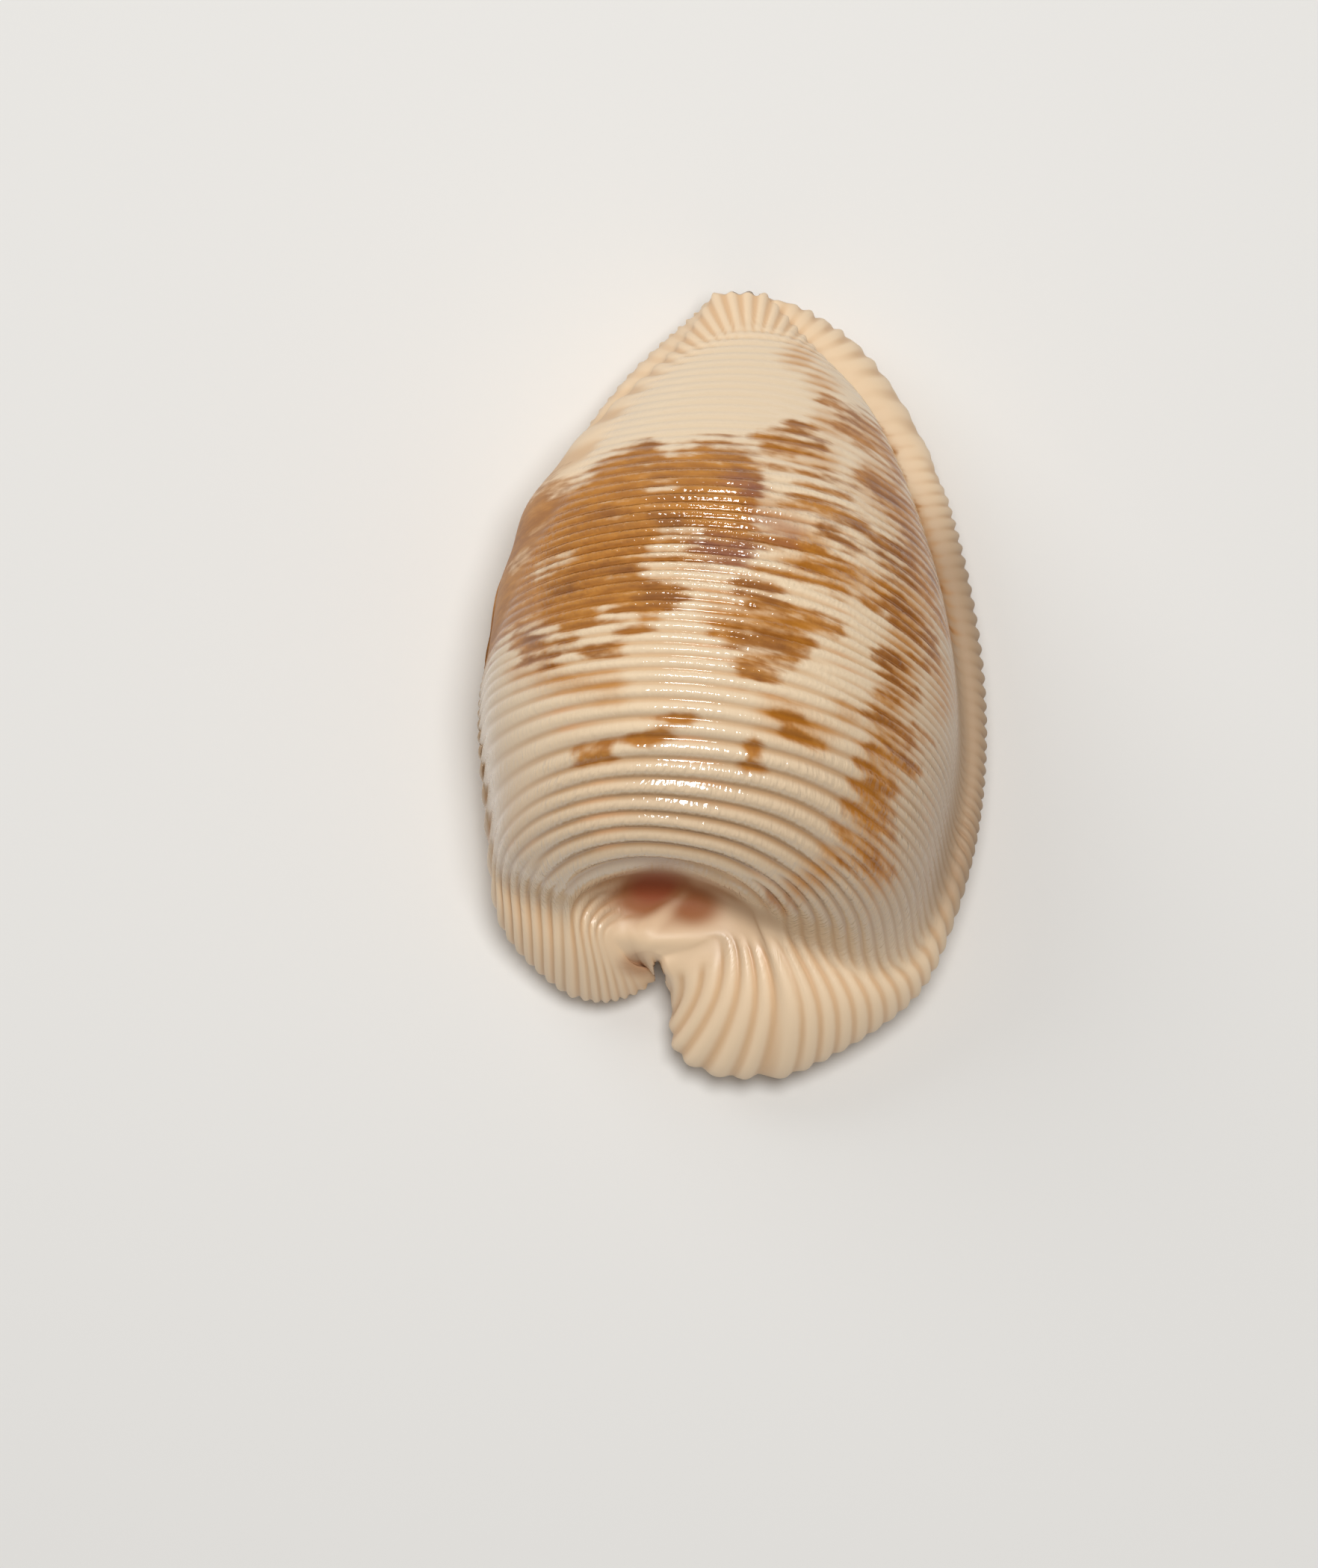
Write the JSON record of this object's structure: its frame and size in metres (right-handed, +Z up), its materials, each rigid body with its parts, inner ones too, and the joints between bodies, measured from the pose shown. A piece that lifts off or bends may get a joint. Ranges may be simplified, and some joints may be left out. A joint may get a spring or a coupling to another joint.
{
  "type": "cape cowrie shell",
  "caption": "Empty cowrie shell with fine ridges across its domed back, a pit over the rear notch and a toothed slit in its base.",
  "frame": {"origin": "on the ground, under the middle of the shell's box, with the shell resting on its base", "axes": "+Z up through the domed back, +Y to the front tip, +X to the outer lip side"},
  "size_m": [0.0194, 0.03, 0.016],
  "materials": {
    "shell": "gloss"
  },
  "bodies": {
    "root": {"shell": "shell"}
  },
  "joints": []
}
